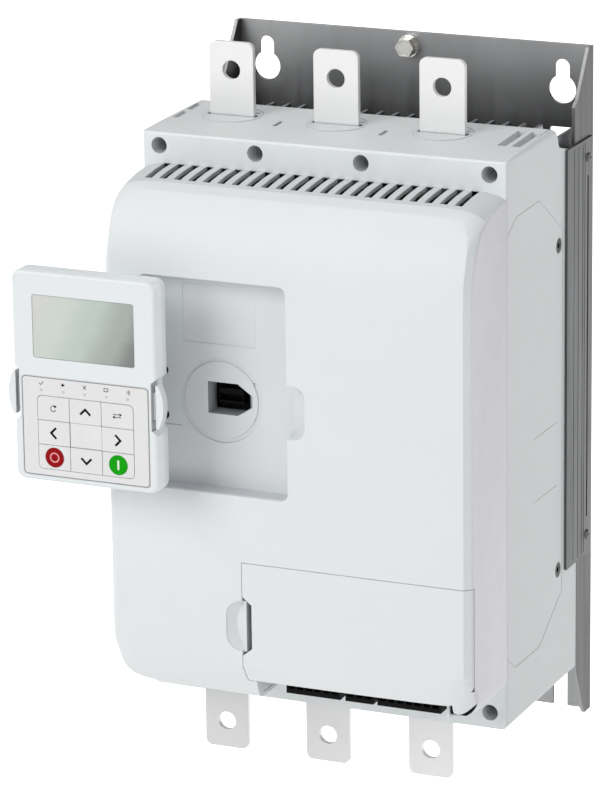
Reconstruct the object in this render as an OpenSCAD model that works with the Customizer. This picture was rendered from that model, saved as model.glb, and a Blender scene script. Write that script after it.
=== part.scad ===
// Three-phase motor soft starter: metal back plate, moulded housing,
// front cover with keypad bay and terminal door, and an unplugged keypad.
// Frame: X right, Y to the rear (mounting face at Y = 0), Z up. Millimetres.
// The origin is the centre of the four wall fixings; heights in the source are
// counted from the lowest point and shifted by placed().

/* [Main sizes] */
// Width of the moulded housing
housing_w = 210; // [180:1:240]
// Width of the back plate over its side flanges
plate_w = 210.6; // [180:0.2:242]
// Top edge of the back plate above the lowest point
plate_top = 393; // [360:1:420]
// Bottom edge of the back plate above the lowest point
plate_bottom = 11; // [5:1:20]
// Underside of the housing above the lowest point
housing_bottom = 42; // [36:1:50]
// Top of the housing at its front edge
housing_top = 356.8; // [340:0.2:365]
// Distance of the front cover face from the wall
cover_depth = 183; // [175:1:190]

/* [Power bars] */
// Sideways pitch of the three phases
phase_pitch = 61.5; // [58:0.5:64]
// Sideways position of the middle phase
phase_centre = -10.2; // [-14:0.1:-6]
// Width of a power bar
bar_w = 26; // [20:0.5:28]
// Thickness of a power bar
bar_t = 3; // [2:0.5:3]
// Bolt hole in a power bar
bar_hole = 10.5; // [8:0.5:13]
// Distance of the bolt hole from the bar end
bar_hole_in = 15.5; // [13:0.5:18]

/* [Wall fixing] */
// Sideways distance between the fixing slots
fix_pitch_x = 176; // [170:1:182]
// Height between upper and lower fixing seats
fix_pitch_z = 350; // [340:1:356]
// Width of the fixing slots
fix_slot = 8.6; // [7:0.2:10]
// Entry hole of the upper keyholes
key_entry = 16; // [14:0.5:18]

/* [Keypad] */
// Width of the keypad body
pad_w = 84; // [80:0.5:85]
// Height of the keypad body
pad_h = 115.6; // [110:0.2:117]
// Thickness of the keypad body
pad_t = 14.5; // [12:0.5:16]
// Sideways position of the unplugged keypad centre
pad_x = -101; // [-110:1:-42]
// Front face of the unplugged keypad
pad_y = -215; // [-240:1:-205]
// Height of the unplugged keypad centre
pad_z = 239.3; // [225:0.1:255]

/* [Hidden] */
hw = housing_w/2;
pw = plate_w/2;
cy = -cover_depth;
zb = housing_bottom;
zt = housing_top;
bx = [phase_centre - phase_pitch, phase_centre, phase_centre + phase_pitch];
line_y = -86;          // front face of the line bars
load_y = -106.7;       // front face of the load bars
line_end = 398.8;
bayx0 = -84.5; bayx1 = 1.3; bayz0 = 174.9; bayz1 = 292.4; bayf = -170;
portx0 = -50.2; portx1 = -24.2; portz0 = 215.4; portz1 = 233; portf = -158.5;
hx = 100; hy = cy + 5;   // door hinge axis
well_pos = [[-95.2, 349.2], [-38.8, 349.2], [22.4, 349.2], [95.2, 349.2], [95.2, 50.8], [-95.2, 50.8]];
e = 0.01;
datum = plate_bottom + 19 + fix_pitch_z/2;   // height of the origin above the lowest point

// ---------------------------------------------------------------- helpers
// moves a finished piece into the shared frame
module placed() translate([0, 0, -datum]) children();
// prism along X of a (Y, Z) outline, centred on x = c, width w
module xprism(w, c = 0) { translate([c, 0, 0]) rotate([90, 0, 90]) linear_extrude(height = w, center = true) children(); }
// prism along Y of an (X, Z) outline, from y0 towards the front by d
module yprism(d, y0) { translate([0, y0, 0]) rotate([90, 0, 0]) linear_extrude(height = d) children(); }
// round bar along Y from y0 towards the front
module ycyl(x, z, r, y0, d, n = 48) { translate([x, y0, z]) rotate([90, 0, 0]) cylinder(r = r, h = d, $fn = n); }
// round bar along X from x0 to the right
module xcyl(y, z, r, x0, d, n = 32) { translate([x0, y, z]) rotate([0, 90, 0]) cylinder(r = r, h = d, $fn = n); }
// box from corner to corner
module bx3(a, b) { translate(a) cube([b[0] - a[0], b[1] - a[1], b[2] - a[2]]); }
// flat rectangle with rounded corners, built from exact circles
module rrect(x0, z0, x1, z1, r) {
  translate([x0 + r, z0]) square([x1 - x0 - 2*r, z1 - z0]);
  translate([x0, z0 + r]) square([x1 - x0, z1 - z0 - 2*r]);
  for (x = [x0 + r, x1 - r], z = [z0 + r, z1 - r]) translate([x, z]) circle(r = r, $fn = 40);
}

// ---------------------------------------------------------------- back plate
module flange_outline() {
  polygon([[0, plate_bottom], [-9, plate_bottom], [-12, plate_bottom + 4], [-23, 40], [-23, 341], [-28.5, 343],
    [-28.5, 364], [-26.5, 366], [-24, 367], [-7, plate_top], [0, plate_top]]);
}
module upper_keyhole(x) {
  zs = plate_bottom + 19 + fix_pitch_z;
  translate([x, zs]) circle(d = fix_slot, $fn = 40);
  translate([x - fix_slot/2, zs - 12.6]) square([fix_slot, 12.6]);
  translate([x, zs - 12.6]) circle(d = key_entry, $fn = 48);
}
module lower_slot(x) {
  zs = plate_bottom + 19;
  translate([x, zs]) circle(d = fix_slot, $fn = 40);
  translate([x - fix_slot/2, plate_bottom - 1]) square([fix_slot, 20]);
}
module back_plate() placed() color([0.60, 0.61, 0.62]) {
  difference() {
    union() {
      yprism(2, 0) translate([-pw, plate_bottom]) square([plate_w, plate_top - plate_bottom]);
      xprism(2, pw - 1) flange_outline();
      xprism(2, -pw + 1) flange_outline();
    }
    translate([0, 1, 0]) yprism(4, 0) {
      for (s = [-1, 1]) { upper_keyhole(s*fix_pitch_x/2); lower_slot(s*fix_pitch_x/2); }
    }
    // earth stud hole, heatsink fixing holes
    ycyl(-2.2, 384.9, 2.6, 1, 4);
    for (x = [-75, 0, 75], z = [80, 330]) translate([x, 0.01, z]) rotate([90, 0, 0]) cylinder(r1 = 4.5, r2 = 2.4, h = 2.1, $fn = 32);
    // window beside the upper right corner of the heatsink
    translate([0, 1, 0]) yprism(4, 0) rrect(80.6, 335.4, 104.8, 346.4, 2);
    // shroud screw holes in the flanges
    for (s = [-1, 1], z = [117.2, 332.9]) xcyl(-10.4, z, 1.4, s > 0 ? pw - 3 : -pw - 1, 4);
  }
}
module earth_bolt() placed() color([0.75, 0.74, 0.70]) {
  difference() {
    ycyl(-2.2, 384.9, 5.5, -5, 4.2, 6);
    ycyl(-2.2, 384.9, 3.9, -8.9, 1, 32);
  }
  ycyl(-2.2, 384.9, 2.5, -0.2, 4.9, 32);
}
module earth_washers() placed() color([0.78, 0.77, 0.73]) {
  difference() { ycyl(-2.2, 384.9, 6.3, -2, 1.4); ycyl(-2.2, 384.9, 2.7, -1, 4, 32); }
  difference() { ycyl(-2.2, 384.9, 5.0, -3.4, 1.6); ycyl(-2.2, 384.9, 2.7, -3, 3, 32);
    translate([-2.2, -4.2, 384.9]) rotate([0, 40, 12]) translate([0, 0, -9]) cube([0.9, 4, 9], center = false); }
}

// ---------------------------------------------------------------- heatsink
rib_x = [-75, 0, 75];
// thin fins stop short of the wide ribs that carry the plate screws
function fin_at(i) = -99.2 + i*9.36;
function short_fin(i) = abs(fin_at(i) + 0.95) > 85 && abs(fin_at(i) + 0.95) < 95;
function near_rib(i) = min([for (c = rib_x) abs(fin_at(i) + 0.95 - c)]) < 7;
module heatsink() placed() color([0.42, 0.43, 0.45]) {
  difference() {
    bx3([-100, -60, 46], [100, -52, 354]);
    for (p = well_pos) ycyl(p[0], p[1], 2.1, -51, 10, 32);
    for (b = bx, s = [-1, 1], z = [174, 260]) ycyl(b + s*13, z, 1.9, -54, 8, 24);
  }
  for (i = [0:21]) bx3([fin_at(i), -51.98, near_rib(i) ? 338.03 : 72], [fin_at(i) + 1.9, -12, short_fin(i) ? 333 : 349.3]);
  for (c = rib_x) difference() {
    bx3([c - 4.6, -51.98, 72], [c + 4.6, -2, 338]);
    for (z = [80, 330]) ycyl(c, z, 2.1, -1, 12, 24);
  }
}
module plate_screws() placed() color([0.7, 0.7, 0.72]) {
  for (s = [-75, 0, 75], z = [80, 330]) {
    ycyl(s, z, 2.05, -1.2, 11, 24);
    difference() { translate([s, -0.3, z]) rotate([90, 0, 0]) cylinder(r1 = 4.1, r2 = 2.1, h = 1.7, $fn = 32);
      bx3([s - 2.4, -1.0, z - 0.5], [s + 2.4, 0, z + 0.5]); bx3([s - 0.5, -1.0, z - 2.4], [s + 0.5, 0, z + 2.4]); }
  }
}

// ---------------------------------------------------------------- shrouds
module shroud() {
  difference() {
    bx3([pw, -42.5, 106], [pw + 1.2, -3.6, 343.7]);
    // long air slot
    bx3([pw - 1, -11.7, 128], [pw + 3, -9.9, 323]);
    // pressed lines
    for (y = [-32.2, -25.4, -18.9, -15.6]) bx3([pw + 0.8, y - 0.35, 108], [pw + 3, y + 0.35, 342]);
    for (z = [117.2, 332.9]) xcyl(-10.4, z, 1.6, pw - 1, 4, 24);
  }
}
module side_shroud_right() placed() color([0.50, 0.50, 0.51]) shroud();
module side_shroud_left() placed() color([0.50, 0.50, 0.51]) mirror([1, 0, 0]) shroud();
module shroud_screw() {
  for (z = [117.2, 332.9]) {
    difference() {
      translate([pw + 1.2, -10.4, z]) rotate([0, 90, 0]) cylinder(r1 = 2.9, r2 = 2.1, h = 1.1, $fn = 32);
      bx3([pw + 1.7, -10.7, z - 1.9], [pw + 3, -10.1, z + 1.9]);
      bx3([pw + 1.7, -12.3, z - 0.3], [pw + 3, -8.5, z + 0.3]);
    }
    xcyl(-10.4, z, 1.35, pw - 3.4, 4.6, 24);
  }
}
module shroud_screws() placed() color([0.14, 0.14, 0.15]) { shroud_screw(); mirror([1, 0, 0]) shroud_screw(); }

// ---------------------------------------------------------------- housing
// outer side outline (Y, Z) of the housing block
module housing_side() {
  polygon([[-129.5, zb], [-129.5, zt - 1.6], [-128.6, zt - 0.4], [-127, zt], [-62, zt + 2.2], [-59, zt + 2], [-57.4, zt + 1.2], [-56.5, zt],
    [-54.2, 352.8], [-52.8, 348.8], [-51.6, 347.3], [-48.4, 346.3], [-38, 343.6], [-36.2, 342.2], [-35.4, 340.2], [-23.2, 340.2], [-23.2, zb]]);
}
// cross outline (X, Y) of the housing block with small corner rounds
module housing_plan(x, y0, r) {
  translate([-x, y0 + r]) square([2*x, -23.2 - y0 - r]);
  translate([-x + r, y0]) square([2*(x - r), 10]);
  for (s = [-1, 1]) translate([s*(x - r), y0 + r]) circle(r = r, $fn = 32);
}
module housing_front(x, r) {
  translate([-x, zb + r]) square([2*x, zt + 4 - zb - 2*r]);
  translate([-x + r, zb]) square([2*(x - r), zt + 4 - zb]);
  for (s = [-1, 1]) { translate([s*(x - r), zb + r]) circle(r = r, $fn = 32); translate([s*(x - r), zt + 2.6 - r]) circle(r = r, $fn = 32); }
}
module top_bush_cut(b) { translate([b, -84.5, zt - 1.2]) cylinder(r = 16.6, h = 12, $fn = 64); translate([b, -84.5, zt - 8]) cylinder(r = 15.2, h = 12, $fn = 64); }
module low_bush_cut(b) { translate([b, -105.2, zb - 10]) cylinder(r = 16.6, h = 11.4, $fn = 64); translate([b, -105.2, zb - 2]) cylinder(r = 15.2, h = 12, $fn = 64); }
module side_panel_line() {
  // closed groove drawn on the side wall, (Y, Z)
  difference() {
    polygon([[-150.5, 95.4], [-117.1, 73.7], [-80.3, 73.5], [-46, 95], [-46, 301], [-82.2, 325.5], [-115.3, 324.6], [-141.8, 308.9], [-150.5, 296.2]]);
    polygon([[-149.9, 95.8], [-116.9, 74.3], [-80.5, 74.1], [-46.6, 95.4], [-46.6, 300.7], [-82.4, 324.9], [-115.1, 324.0], [-141.4, 308.5], [-149.9, 296.0]]);
  }
}
module main_housing() placed() color([0.84, 0.85, 0.86]) {
  difference() {
    union() {
      difference() {
        intersection() {
          xprism(housing_w) housing_side();
          translate([0, 0, zb - 1]) linear_extrude(height = 340) housing_plan(hw, -129.5, 1.6);
          yprism(130, 0) intersection() {
            translate([-hw, zb]) square([housing_w, zt + 3 - zb]);
            union() { translate([-hw + 3, zb]) square([housing_w - 6, 330]); translate([-hw, zb + 3]) square([housing_w, zt - 1.4 - zb - 3]);
              for (s = [-1, 1]) { translate([s*(hw - 3), zb + 3]) circle(r = 3, $fn = 32); translate([s*(hw - 3), zt - 1.4]) circle(r = 3, $fn = 32); } }
          }
        }
        // inner space
        bx3([-hw + 2.6, -126.9, zb + 2.6], [hw - 2.6, -22, 338]);
        bx3([-hw + 2.6, -126.9, 337], [hw - 2.6, -59.9, zt - 2.6]);
        // rear opening of the top
        bx3([-hw + 2.6, -60, 330], [hw - 2.6, 0, 365]);
        // front opening towards the cover
        bx3([-98, -131, 66], [98, -126, 334]);
        bx3([-93.5, -131, 333], [93.5, -126, 339.6]);
        // bottom opening for the air inlet
        for (i = [0:13]) bx3([-92 + i*13.2, -56, zb - 1], [-85 + i*13.2, -8, zb + 3]);
        // bottom rear notches round the wall slots
        for (s = [-1, 1]) bx3([s*88 - 8, -24, zb - 1], [s*88 + 8, -22, zb + 20]);
        // bar bush seats
        for (b = bx) { top_bush_cut(b); low_bush_cut(b); }
      }
      // screw well tubes
      for (p = well_pos) ycyl(p[0], p[1], 6.4, -60, 68, 48);
    }
    for (p = well_pos) { ycyl(p[0], p[1], 4.5, -68, 64, 48); ycyl(p[0], p[1], 2.3, -59, 12, 32); }
    // slots in the top face
    for (x = [phase_centre - phase_pitch/2 + 0.3, phase_centre + phase_pitch/2 + 0.3]) bx3([x - 1.2, -99.6, zt - 4], [x + 1.2, -88.8, zt + 5]);
    for (x = [90.4, 98.4]) { bx3([x - 2.6, -99.4, zt - 1.9], [x + 2.6, -68.2, zt + 5]); bx3([x + 0.2, -96, zt - 4], [x + 1.8, -71.4, zt + 5]); }
    for (y = [-99, -81.5]) { bx3([-101.2, y, zt - 1], [-98, y + 14, zt + 5]); bx3([-100.2, y + 2, zt - 4], [-99, y + 12, zt + 5]); }
    // side screw seats
    for (s = [-1, 1], z = [109, 293.1]) {
      xcyl(-51.8, z, 4.3, s > 0 ? hw - 1.7 : -hw - 1, 2.7, 40);
      xcyl(-51.8, z, 1.7, s > 0 ? hw - 4 : -hw - 1, 5, 24);
    }
    // side outlines and tick marks
    for (s = [-1, 1]) {
      translate([s*hw, 0, 0]) xprism(0.36) side_panel_line();
      for (z = [158.7, 194.6]) bx3([s*hw - 0.18, -90, z - 0.25], [s*hw + 0.18, -54, z + 0.25]);
    }
  }
}
module housing_screws() placed() color([0.55, 0.55, 0.56]) for (p = well_pos) {
  difference() {
    ycyl(p[0], p[1], 4.1, -68, 3.2, 40);
    bx3([p[0] - 2.6, -72, p[1] - 0.5], [p[0] + 2.6, -70, p[1] + 0.5]);
    bx3([p[0] - 0.5, -72, p[1] - 2.6], [p[0] + 0.5, -70, p[1] + 2.6]);
  }
  ycyl(p[0], p[1], 2.05, -53, 15.2, 32);
}
module side_screws() placed() color([0.16, 0.16, 0.17]) for (s = [-1, 1], z = [109, 293.1]) {
  difference() {
    xcyl(-51.8, z, 3.9, s > 0 ? hw - 1.7 : -hw + 0.3, 1.4, 40);
    translate([s > 0 ? hw - 1.0 : -hw - 0.5, -51.8, z]) rotate([0, 90, 0]) cylinder(r = 1.7, h = 1.5, $fn = 6);
  }
  xcyl(-51.8, z, 1.5, s > 0 ? hw - 4.6 : -hw + 1.5, 3.1, 24);
}
module bush(b, y, z0, up) {
  // flange in the wall recess, collar through the wall, slot for the bar
  difference() {
    union() {
      translate([b, y, up > 0 ? z0 : z0 - 1.4]) cylinder(r = 16.5, h = up > 0 ? 2.7 : 1.4, $fn = 64);
      translate([b, y, up > 0 ? z0 - 4.6 : z0]) cylinder(r = 15.0, h = 4.6, $fn = 64);
    }
    translate([b - 14.4, y - 2.4, z0 - 8]) cube([28.8, 4.5, 16]);
    if (up > 0) for (x = [-12.6, 6.6]) translate([b + x, y + 6, z0 + 1.6]) cube([6, 3.4, 3]);
  }
}
module line_bushes() placed() color([0.80, 0.81, 0.82]) for (b = bx) bush(b, -84.5, zt - 1.2, 1);
module load_bushes() placed() color([0.80, 0.81, 0.82]) for (b = bx) bush(b, -105.2, zb + 1.4, -1);

// ---------------------------------------------------------------- power bars
module line_bar(b) {
  difference() {
    union() {
      yprism(bar_t, line_y + bar_t) {
        translate([b - bar_w/2, 240]) square([bar_w, line_end - 4 - 240]);
        translate([b - bar_w/2 + 4, 300]) square([bar_w - 8, line_end - 300]);
        for (s = [-1, 1]) translate([b + s*(bar_w/2 - 4), line_end - 4]) circle(r = 4, $fn = 32);
      }
    }
    ycyl(b, line_end - bar_hole_in, bar_hole/2, line_y + 4, 6, 48);
    ycyl(b, 252, 4.3, line_y + 4, 6, 40);
  }
}
module load_bar(b) {
  difference() {
    intersection() {
      xprism(bar_w, b) polygon([[load_y, 0], [load_y, 150], [line_y, 170.7], [line_y, 212], [line_y + bar_t, 212], [line_y + bar_t, 169.5],
        [load_y + bar_t, 148.8], [load_y + bar_t, 0]]);
      yprism(60, -70) {
        translate([b - bar_w/2, 4]) square([bar_w, 215]);
        translate([b - bar_w/2 + 4, 0]) square([bar_w - 8, 20]);
        for (s = [-1, 1]) translate([b + s*(bar_w/2 - 4), 4]) circle(r = 4, $fn = 32);
      }
    }
    ycyl(b, bar_hole_in, bar_hole/2, load_y + 4, 6, 48);
    ycyl(b, 190, 4.3, line_y + 4, 6, 40);
  }
}
module line_busbar_1() placed() color([0.86, 0.87, 0.88]) line_bar(bx[0]);
module line_busbar_2() placed() color([0.86, 0.87, 0.88]) line_bar(bx[1]);
module line_busbar_3() placed() color([0.86, 0.87, 0.88]) line_bar(bx[2]);
module load_busbar_1() placed() color([0.84, 0.85, 0.86]) load_bar(bx[0]);
module load_busbar_2() placed() color([0.84, 0.85, 0.86]) load_bar(bx[1]);
module load_busbar_3() placed() color([0.84, 0.85, 0.86]) load_bar(bx[2]);

// ---------------------------------------------------------------- power stage
module thyristor(b) {
  difference() {
    union() {
      bx3([b - 17, -64, 166], [b + 17, -60, 268]);
      bx3([b - 16, -76, 171], [b + 16, -64, 263]);
      for (z = [190, 252]) bx3([b - 11, -83, z - 9], [b + 11, -76, z + 9]);
      bx3([b - 14, -79, 212], [b + 14, -76, 230]);
    }
    for (z = [190, 252]) ycyl(b, z, 4.0, -72, 12, 40);
    for (s = [-1, 1], z = [174, 260]) ycyl(b + s*13, z, 2.1, -58, 20, 24);
  }
  // gate pins
  for (s = [-1, 1]) bx3([b + s*9 - 1.4, -84.5, 217], [b + s*9 + 1.4, -79, 217.8]);
}
module thyristor_module_1() placed() color([0.20, 0.20, 0.21]) thyristor(bx[0]);
module thyristor_module_2() placed() color([0.20, 0.20, 0.21]) thyristor(bx[1]);
module thyristor_module_3() placed() color([0.20, 0.20, 0.21]) thyristor(bx[2]);
module module_bolts() placed() color([0.72, 0.70, 0.62]) for (b = bx, z = [190, 252]) {
  ycyl(b, z, 8, -86, 1.6, 40);
  ycyl(b, z, 7.5, -87.6, 5.3, 6);
  ycyl(b, z, 3.95, -74, 12.01, 32);
}
module ct_body(b) {
  difference() {
    bx3([b - 25, -99, 296], [b + 25, -70, 322]);
    bx3([b - 15, -89.5, 290], [b + 15, -79.5, 330]);
    for (s = [-1, 1]) bx3([b + s*25 - 3, -90, 300], [b + s*25 + 3, -79, 318]);
  }
  bx3([b - 8, -103, 304], [b + 8, -99, 316]);
  for (s = [-1, 1]) bx3([b + s*19 - 4, -70, 300], [b + s*19 + 4, -60, 318]);
}
module current_transformers() placed() color([0.15, 0.15, 0.16]) for (b = bx) ct_body(b);

// ---------------------------------------------------------------- bypass contactor
module bypass_frame() placed() color([0.12, 0.12, 0.13]) {
  difference() {
    union() {
      bx3([-99, -124, 280], [99, -104, 286]);
      bx3([-99, -124, 176], [99, -112, 184]);
      bx3([-101.6, -124, 176], [-96, -60, 286]);
      bx3([66, -124, 176], [71, -92, 286]);
      bx3([95, -124, 176], [101.6, -60, 286]);
      bx3([71, -66, 206], [96, -62, 262]);
      bx3([69, -112, 200], [96, -62, 206]);
    }
    // guide slots for the moving carrier
    bx3([-98.2, -125, 229.6], [-95, -100, 240.4]);
    bx3([60, -125, 228], [73, -91, 242]);
    bx3([94, -125, 229.6], [98.2, -100, 240.4]);
  }
}
module bypass_coil() placed() color([0.62, 0.28, 0.12]) {
  bx3([71, -98.6, 210], [95, -95.6, 258]);
  bx3([71, -69, 210], [95, -66, 258]);
  difference() { bx3([74, -96, 214], [92, -68, 254]); bx3([78, -99, 226], [88, -72, 242]); }
  bx3([78.2, -98, 226.2], [87.8, -71, 241.8]);
}
module bypass_bridge() placed() color([0.70, 0.42, 0.26]) {
  // moulded carrier bar with three contact bridges and the armature plate
  bx3([-97.8, -115, 230], [97.8, -108, 240]);
  bx3([75, -108.01, 222], [93, -103.6, 248]);
  for (b = bx) {
    bx3([b - 4, -108.01, 231], [b + 4, -100.9, 239]);
    bx3([b - 7, -101, 202], [b + 7, -98, 277]);
    bx3([b - 5, -98.01, 202], [b + 5, -92.6, 208]);
    bx3([b - 5, -98.01, 271], [b + 5, -92.6, 277]);
  }
}
module bypass_contacts() placed() color([0.78, 0.78, 0.76]) for (b = bx, z = [201, 270]) bx3([b - 6, -88.4, z], [b + 6, -86, z + 8]);

// ---------------------------------------------------------------- cooling fans
fan_x = [-48, 48]; fan_y = -31.5; fan_z = 48;
module fan_tray() placed() color([0.10, 0.10, 0.11]) {
  for (x = fan_x) difference() {
    bx3([x - 25, fan_y - 19.5, fan_z], [x + 25, fan_y + 25, fan_z + 16]);
    difference() {
      translate([x, fan_y + 2, fan_z - 1]) cylinder(r = 18.6, h = 20, $fn = 64);
      // hub plate and its four arms
      translate([x, fan_y + 2, fan_z]) { cylinder(r = 9, h = 2, $fn = 48);
        for (a = [45, 135]) rotate([0, 0, a]) translate([-19.5, -1, 0.4]) cube([39, 2, 1.4]); }
    }
    translate([x, fan_y + 2, fan_z + 1]) cylinder(r = 1.9, h = 3, $fn = 24);
    for (sx = [-1, 1]) translate([x + sx*21, fan_y + 21, fan_z - 1]) cylinder(r = 1.7, h = 20, $fn = 24);
  }
  // closing plates beside and between the fans
  bx3([-100, -52, fan_z + 13], [-73.03, -2.2, fan_z + 16]);
  bx3([-22.97, -52, fan_z + 13], [22.97, -2.2, fan_z + 16]);
  bx3([73.03, -52, fan_z + 13], [100, -2.2, fan_z + 16]);
}
module rotor(x) translate([x, fan_y + 2, fan_z]) {
  translate([0, 0, 2.6]) cylinder(r = 9, h = 11.6, $fn = 48);
  translate([0, 0, 1.1]) cylinder(r = 1.6, h = 2, $fn = 24);
  for (a = [0:360/7:359]) rotate([0, 0, a]) translate([8.4, 0, 8.2]) rotate([38, 0, 0]) translate([0, -6.2, -0.6]) cube([9.2, 12.4, 1.2]);
}
module fan_rotor_left() placed() color([0.13, 0.13, 0.14]) rotor(fan_x[0]);
module fan_rotor_right() placed() color([0.13, 0.13, 0.14]) rotor(fan_x[1]);

// ---------------------------------------------------------------- front cover
// section points (Y, Z) at the centre and at the outer side faces
low0 = [[-129.5, 61.5], [-172.5, 61.5], [-175.2, 62.6], [-176.4, 64.6]];
low1 = [[-129.5, 70], [-164, 70], [-168.4, 70.8], [-171.1, 73.1]];
face0 = [[cy, 285], [cy + 0.45, 299], [cy + 2.6, 308.5], [cy + 6, 318.8], [cy + 9.6, 326]];
face1 = [[cy + 5, 285], [cy + 5.7, 294], [cy + 7.6, 302], [cy + 10.6, 311.5], [cy + 14.4, 320]];
crown0 = [[cy + 13.8, 332.8], [cy + 15.8, 334.6], [-160, 336.8], [-152, 338.3], [-142, 339.4], [-129.5, 340]];
crown1 = [[cy + 19.4, 326.4], [cy + 23, 328.6], [-154.3, 330.6], [-147, 332.6], [-139, 334.2], [-129.5, 335.2]];
// half width and weight of the side section, and how far the lower edge hangs down
low_w = [[24, 0, 2.3], [60, 0, 1.7], [82, 0, 1.1], [90, 0.05, 0.8], [96, 0.17, 0.4], [100, 0.35, 0], [102, 0.5, 0], [103.5, 0.66, 0], [104.5, 0.82, 0], [105, 1, 0]];
face_w = [[100, 0], [101.3, 0.034], [104.83, 0.742], [105, 1]];
crown_w = [[82, 0], [90, 0.04], [96, 0.15], [100, 0.34], [102, 0.5], [103.5, 0.65], [104.5, 0.79], [105, 1]];
// lower crease of the front: half width, Y, Z
smile = [[20, cy, 79], [60, cy, 80.8], [82, cy, 83.4], [93, cy, 86.2], [100, cy, 90], [101.3, cy + 0.17, 90], [104.83, cy + 3.71, 87], [105, cy + 5, 85.6]];
core = [-140, 200];
// t = wall thickness taken off, 0 for the outer shape
module slab(hw2, t, pts) xprism(2*(hw2 - t)) polygon(concat(pts, [core]));
module cover_shape(t = 0) {
  fr = t > 0 ? 10.5 : 0;
  hull() {
    for (s = low_w) slab(s[0], t, [for (i = [0:3]) let(p = low0[i]*(1 - s[1]) + low1[i]*s[1]) [i == 0 ? p[0] + fr : p[0] + t, p[1] - s[2] + (i < 3 ? 0.92 : 0.5)*t]]);
    for (s = smile) slab(s[0], t, [[s[1] + t + 0.7, s[2] - 2.4], [s[1] + t, s[2]]]);
    for (s = face_w) slab(s[0], t, [for (i = [0:4]) let(p = face0[i]*(1 - s[1]) + face1[i]*s[1]) [p[0] + t, p[1] - 0.11*i*t]]);
    for (s = crown_w) slab(s[0], t, [for (i = [0:5]) let(p = crown0[i]*(1 - s[1]) + crown1[i]*s[1]) [i == 5 ? p[0] + fr : p[0] + (0.8 - 0.16*i)*t, p[1] - (0.72 + 0.05*i)*t]]);
  }
}
module port_outline(g = 0) {
  polygon([[portx0 - g, portz0 - g], [portx1 - 8.6 + g*0.4, portz0 - g], [portx1 + g, portz0 + 5.4 - g*0.4], [portx1 + g, portz1 - 6 + g*0.4],
    [portx1 - 8.6 + g*0.4, portz1 + g], [portx0 - g, portz1 + g]]);
}
module hinge_lug(z) {
  difference() {
    union() {
      translate([hx, hy, z]) cylinder(r = 2.7, h = 3.8, $fn = 32);
      translate([hx, hy, z]) rotate([0, 0, 145]) translate([0, -1.5, 0]) cube([13, 3, 3.8]);
      bx3([86.5, -172.5, z], [92, -159, z + 3.8]);
    }
    translate([hx, hy, z - 1]) cylinder(r = 1.7, h = 6, $fn = 32);
  }
}
// half-round recess whose side slopes down to a crescent floor
module scoop() hull() {
  translate([0, cy + 0.4, 0]) yprism(2, 0) intersection() { rrect(-35.8, 87.6, -10, 116.1, 9.2); translate([-60, 80]) square([34.4, 50]); }
  translate([0, cy + 4.7, 0]) yprism(1, 0) intersection() { translate([-10.6, 101.6]) circle(r = 21, $fn = 96); translate([-60, 80]) square([34.4, 50]); rrect(-35.8, 89.6, -10, 113.6, 6); }
}
// rounded recess beside the bay, deepening towards it
module finger_recess() hull() {
  yprism(2, cy + 0.3) rrect(bayx1 - 14, 209.8, 11.5, 239.1, 6.5);
  yprism(1, cy + 4.4) rrect(bayx1 - 14, 210.9, 10.3, 238, 6);
  yprism(1, -174) rrect(bayx1 - 12, 212.4, 6, 236.5, 4);
}
// keypad bay and the finger recesses on its two sides
module bay_cut() {
  yprism(20, bayf) rrect(bayx0, bayz0, bayx1, bayz1, 4.5);
  finger_recess();
  translate([bayx0 + bayx1, 0, 0]) mirror([1, 0, 0]) finger_recess();
}
// opening closed by the terminal door, with the clearance of the hinged corner
module door_cut() {
  yprism(12, cy + 5.07) polygon([[-26.5, 137.9], [-26.5, 79.1], [-24.9, 70.23], [106, 70.23], [106, 137.9]]);
  bx3([-26.5, -190, 78], [96, -177, 137.9]);
  bx3([-19.9, -190, 55], [88.5, -171.37, 79.93]);
  bx3([88.4, -190, 55], [106, -177.93, 79.93]);
  bx3([-19.9, -190, 55], [86.9, -148, 66]);
  translate([hx, hy, 54]) cylinder(r = 7.42, h = 25.93, $fn = 64);
  translate([hx, hy, 79]) cylinder(r = 5.05, h = 58.9, $fn = 96);
  // dark corner behind the leg of the door
  yprism(22.4, -167.6) polygon([[88.5, 79.93], [88.5, 56], [98, 56], [98.6, 63.6], [100.6, 65.3], [102.3, 67.7], [104.2, 70.5], [104.2, 79.93]]);
}
module front_cover() placed() color([0.90, 0.92, 0.92]) {
  difference() {
    union() {
      difference() { cover_shape(0); cover_shape(2.5); }
      // webs beside the terminal blocks and under the compartment
      xprism(1.8, -28.3) polygon([[-169.4, 61.8], [-172, 61.8], [-175, 63.2], [-176, 65.2], [-180, 79.95], [-169.4, 79.95]]);
      bx3([-29.2, -171.2, 62.5], [-19.9, -169.4, 79.95]);
      xprism(1.8, -20.8) polygon([[-150.2, 61.8], [-172, 61.8], [-175, 63.2], [-176, 65.2], [-180, 79.95], [-150.2, 79.95]]);
      bx3([86.9, -171.3, 61.8], [88.5, -150.2, 79.95]);
      // backing of the finger scoop
      bx3([-39, -181.5, 84], [-27.4, -176.4, 119]);
      // posts for the control board
      for (x = [-92, 90], z = [150, 296]) ycyl(x, z, 3.4, -150, 31.2, 32);
      for (x = [-92, 90], z = [150, 296]) ycyl(x, z, 1.4, -146.6, 6, 24);
    }
    bay_cut();
    // vent slots along the top band
    for (i = [0:21]) bx3([-92.2 + i*8.467, -154.4, 326], [-88.0 + i*8.467, -129, 345]);
    door_cut();
    // finger scoop beside the door
    scoop();
  }
  difference() { bx3([-27.5, -181.5, 87.2], [-24.5, -176.4, 115.8]); scoop(); }
}
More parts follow.
